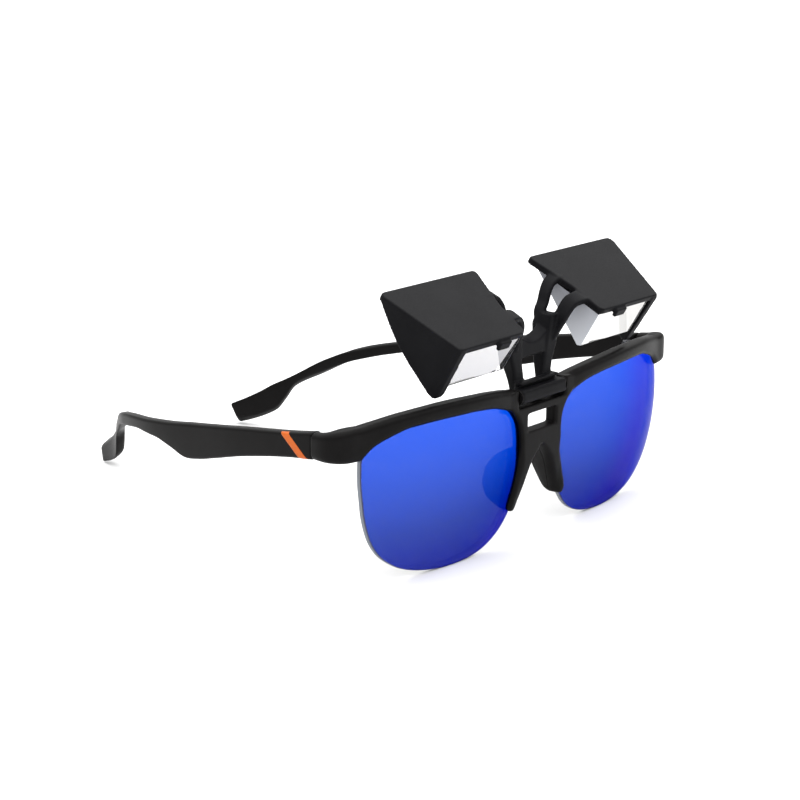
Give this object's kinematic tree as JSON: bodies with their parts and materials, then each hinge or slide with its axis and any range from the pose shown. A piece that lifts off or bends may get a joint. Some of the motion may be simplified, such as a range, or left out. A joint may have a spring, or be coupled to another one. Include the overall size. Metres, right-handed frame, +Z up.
{
  "type": "belay glasses",
  "caption": "Half-rim glasses with blue mirrored lenses, folding temples and two clear prisms in black housings on a flip-up bridge hinge, which turn the wearer's view upward.",
  "frame": {"origin": "centre of the footprint on the surface that the lens bottoms and temple tips stand on", "axes": "+X to the wearer's left, -Y the way the wearer faces, +Y back along the temples, +Z up"},
  "size_m": [0.1432, 0.1496, 0.0726],
  "materials": {
    "frame_plastic": "soft satin black, moulded",
    "carrier_plastic": "fine-grained satin black, moulded",
    "orange_inlay": "smooth orange inlay",
    "mirror_lens": "blue mirror coating on a tinted lens",
    "pad_rubber": "matte black",
    "prism_glass": "polished faces, ground ends",
    "hinge_steel": "plain stainless"
  },
  "bodies": {
    "front": {"front_frame": "frame_plastic", "lens_left": "mirror_lens", "lens_right": "mirror_lens", "nose_pad_left": "pad_rubber", "nose_pad_right": "pad_rubber", "frame_hinge_leaf_left": "hinge_steel", "frame_hinge_leaf_right": "hinge_steel", "hinge_screw_left": "hinge_steel", "hinge_screw_right": "hinge_steel", "flip_pin": "hinge_steel", "friction_washer_left": "pad_rubber", "friction_washer_right": "pad_rubber"},
    "left_temple": {"temple_left": "frame_plastic", "stripe_left": "orange_inlay", "temple_hinge_leaf_left": "hinge_steel"},
    "right_temple": {"temple_right": "frame_plastic", "stripe_right": "orange_inlay", "temple_hinge_leaf_right": "hinge_steel"},
    "prism_unit": {"prism_carrier": "carrier_plastic", "prism_left": "prism_glass", "prism_right": "prism_glass"}
  },
  "joints": [
    {"name": "left_temple_fold", "type": "hinge", "parent": "front", "child": "left_temple", "pos_m": [0.0658, -0.04896, 0.03675], "axis": [0, 0, 1], "range_deg": [0, 70]},
    {"name": "right_temple_fold", "type": "hinge", "parent": "front", "child": "right_temple", "pos_m": [-0.0658, -0.04896, 0.03675], "axis": [0, 0, -1], "range_deg": [0, 60]},
    {"name": "prism_flip", "type": "hinge", "parent": "front", "child": "prism_unit", "pos_m": [0, -0.06631, 0.04031], "axis": [1, 0, 0], "range_deg": [0, 145]}
  ]
}
